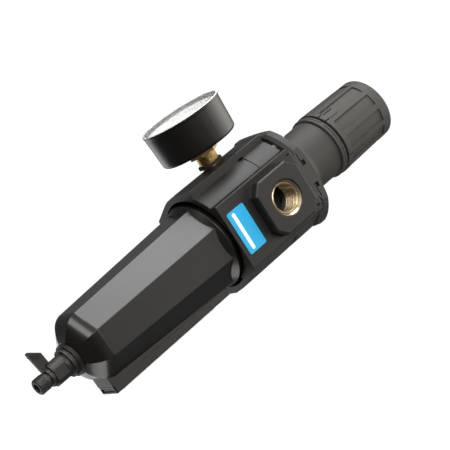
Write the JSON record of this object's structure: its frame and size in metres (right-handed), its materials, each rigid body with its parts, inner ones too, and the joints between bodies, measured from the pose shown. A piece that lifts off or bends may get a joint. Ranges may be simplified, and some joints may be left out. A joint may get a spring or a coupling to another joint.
{
  "type": "filter regulator",
  "caption": "Compressed-air filter regulator: ribbed push-lock knob, diaphragm bonnet, ported body with a front pressure gauge, tapered metal bowl with a sight window and a lever drain.",
  "frame": {"origin": "where the common axis of the two pipe ports crosses the main axis of the knob and bowl", "axes": "+Z along the main axis towards the knob, +X along the port axis out of the outlet, -Y towards the pressure gauge's face, +Y towards the sight window"},
  "size_m": [0.079, 0.1105, 0.3008],
  "materials": {
    "body_paint": "satin black paint on a die casting",
    "bonnet_plastic": "satin black moulding",
    "knob_plastic": "satin black moulding",
    "bowl_paint": "semi-gloss black paint",
    "gauge_paint": "satin black enamel",
    "clear_lens": "clear, slightly domed",
    "dial_white": "matt white plate with black marks",
    "pointer_black": "matt black",
    "brass": "machined, slightly tarnished",
    "steel": "zinc plated",
    "spring_steel": "bright wire",
    "rubber": "matt nitrile",
    "sintered": "porous sintered",
    "grey_plastic": "moulded",
    "drain_plastic": "moulded black"
  },
  "bodies": {
    "housing": {"main_body": "body_paint", "bonnet": "bonnet_plastic", "bonnet_screws": "steel", "neck_nut": "knob_plastic", "valve_guide": "grey_plastic", "deflector": "grey_plastic", "filter_element": "sintered", "baffle": "grey_plastic", "range_spring": "spring_steel", "valve_spring": "spring_steel", "diaphragm": "rubber", "gauge_case": "gauge_paint", "gauge_lens": "clear_lens", "gauge_dial": "dial_white", "dial_spacer": "grey_plastic", "gauge_movement": "brass", "bourdon_tube": "brass", "gauge_stem": "brass", "gauge_washer": "rubber", "gauge_port_plug": "steel"},
    "adjuster": {"adjusting_screw": "steel"},
    "hand_knob": {"knob": "knob_plastic"},
    "spring_seat": {"spring_nut": "brass"},
    "valve_set": {"lower_spring_plate": "steel", "diaphragm_washer": "grey_plastic", "valve_stem": "brass", "valve_seal": "rubber"},
    "pointer": {"gauge_pointer": "pointer_black"},
    "bowl_set": {"bowl": "bowl_paint", "bowl_seal": "rubber", "sight_cover": "bowl_paint", "sight_seal": "rubber", "sight_lens": "clear_lens", "sight_screw": "steel", "drain_body": "drain_plastic", "drain_washer": "rubber", "drain_nut": "drain_plastic", "drain_collar": "drain_plastic"},
    "drain_valve": {"drain_cock": "drain_plastic"}
  },
  "joints": [
    {"name": "knob_turn", "type": "hinge", "parent": "housing", "child": "adjuster", "pos_m": [0, 0, 0], "axis": [0, 0, -1], "range_deg": [0, 1620]},
    {"name": "knob_lift", "type": "slide", "parent": "adjuster", "child": "hand_knob", "axis": [0, 0, 1], "range_m": [0, 0.004]},
    {"name": "spring_nut_slide", "type": "slide", "parent": "housing", "child": "spring_seat", "axis": [0, 0, -1], "range_m": [0, 0.00674], "deforming": ["range_spring"]},
    {"name": "valve_lift", "type": "slide", "parent": "housing", "child": "valve_set", "axis": [0, 0, -1], "range_m": [0, 0.0015], "stiffness_N_per_m": 1500, "springref_m": -0.004, "deforming": ["diaphragm", "valve_spring"]},
    {"name": "pointer_swing", "type": "hinge", "parent": "housing", "child": "pointer", "pos_m": [0, -0.066, -0.0076], "axis": [0, 1, 0], "range_deg": [0, 270]},
    {"name": "bowl_turn", "type": "hinge", "parent": "housing", "child": "bowl_set", "pos_m": [0, 0, -0.04], "axis": [0, 0, 1], "range_deg": [0, 45]},
    {"name": "drain_turn", "type": "hinge", "parent": "bowl_set", "child": "drain_valve", "pos_m": [0, 0, -0.17], "axis": [0, 0, -1], "range_deg": [0, 90]}
  ],
  "couplings": [
    {"joint": "knob_turn", "follows": "spring_nut_slide", "rad_per_m": 4188.8}
  ]
}
